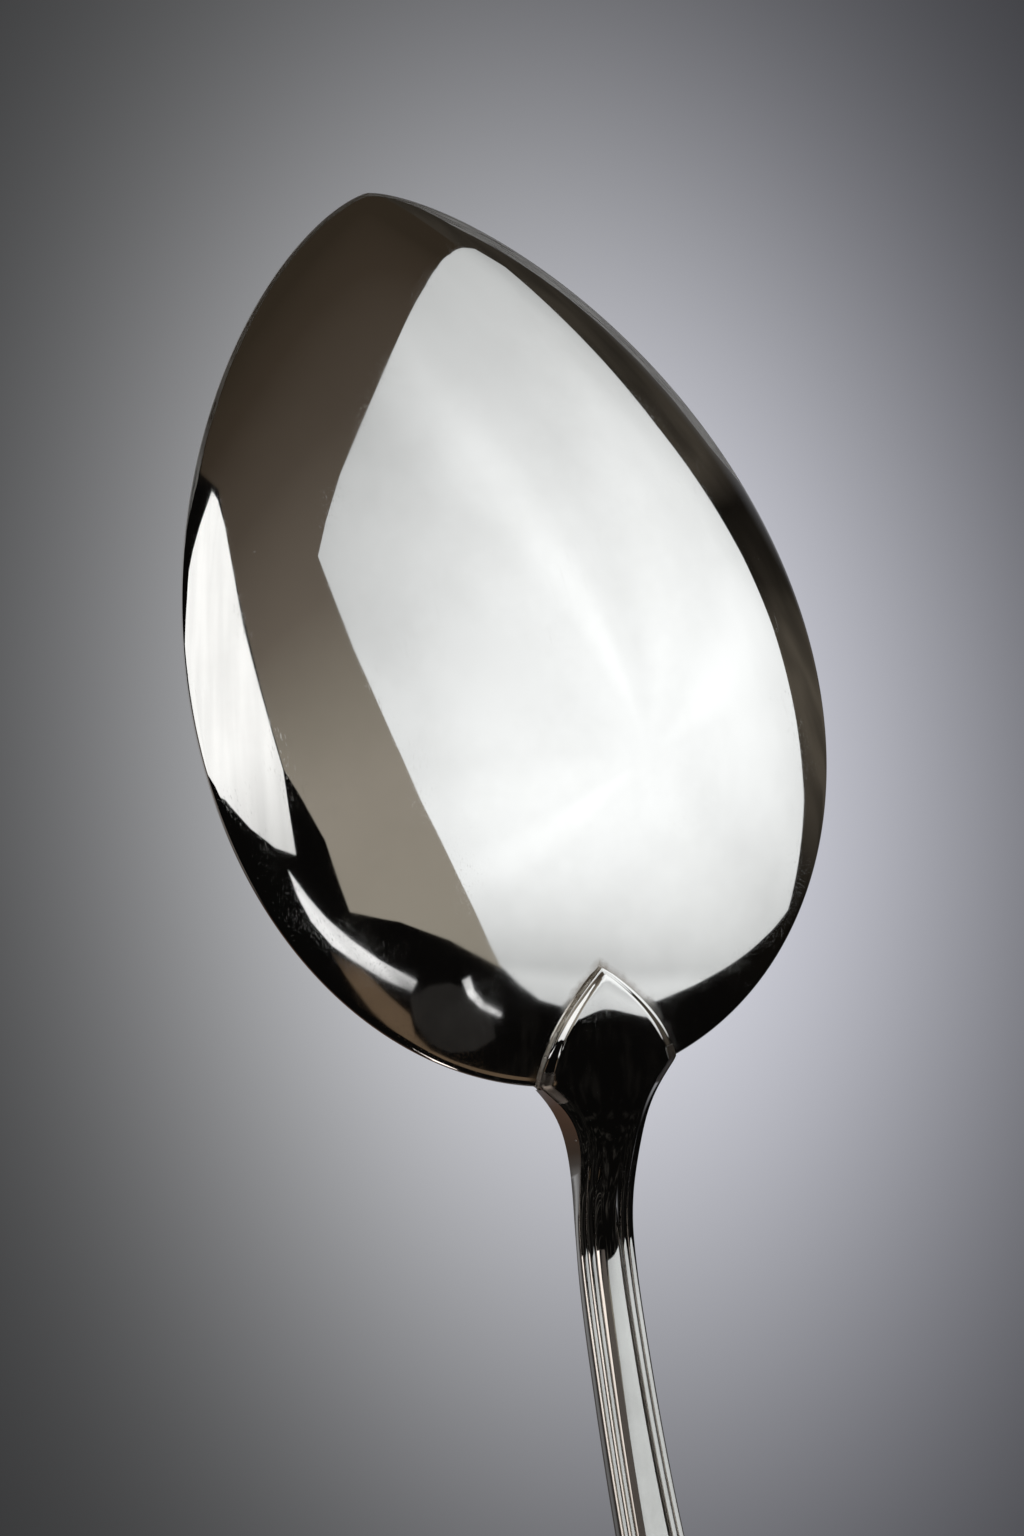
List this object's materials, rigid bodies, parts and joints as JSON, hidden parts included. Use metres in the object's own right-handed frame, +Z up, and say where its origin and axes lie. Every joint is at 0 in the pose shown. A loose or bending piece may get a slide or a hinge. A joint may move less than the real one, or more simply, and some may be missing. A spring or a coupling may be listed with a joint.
{
  "type": "serving spoon",
  "caption": "Polished serving spoon: a pointed egg-shaped bowl with a rounded rim, a pointed heel lapped onto its back, and an arched handle with threads along its edges.",
  "frame": {"origin": "middle of the spoon's length and width, on the table it lies on", "axes": "+X from the end of the handle to the tip of the bowl, +Z up out of the open bowl; the spoon is mirrored over Y = 0"},
  "size_m": [0.2306, 0.0578, 0.0322],
  "materials": {
    "bowl_silver": "mirror-polished with fine scratches and a faint haze",
    "stem_silver": "mirror-polished, with tarnish in the grooves beside the threads",
    "solder_grey": "satin hard solder"
  },
  "bodies": {
    "root": {"bowl": "bowl_silver", "stem": "stem_silver", "solder_seam": "solder_grey"}
  },
  "joints": []
}
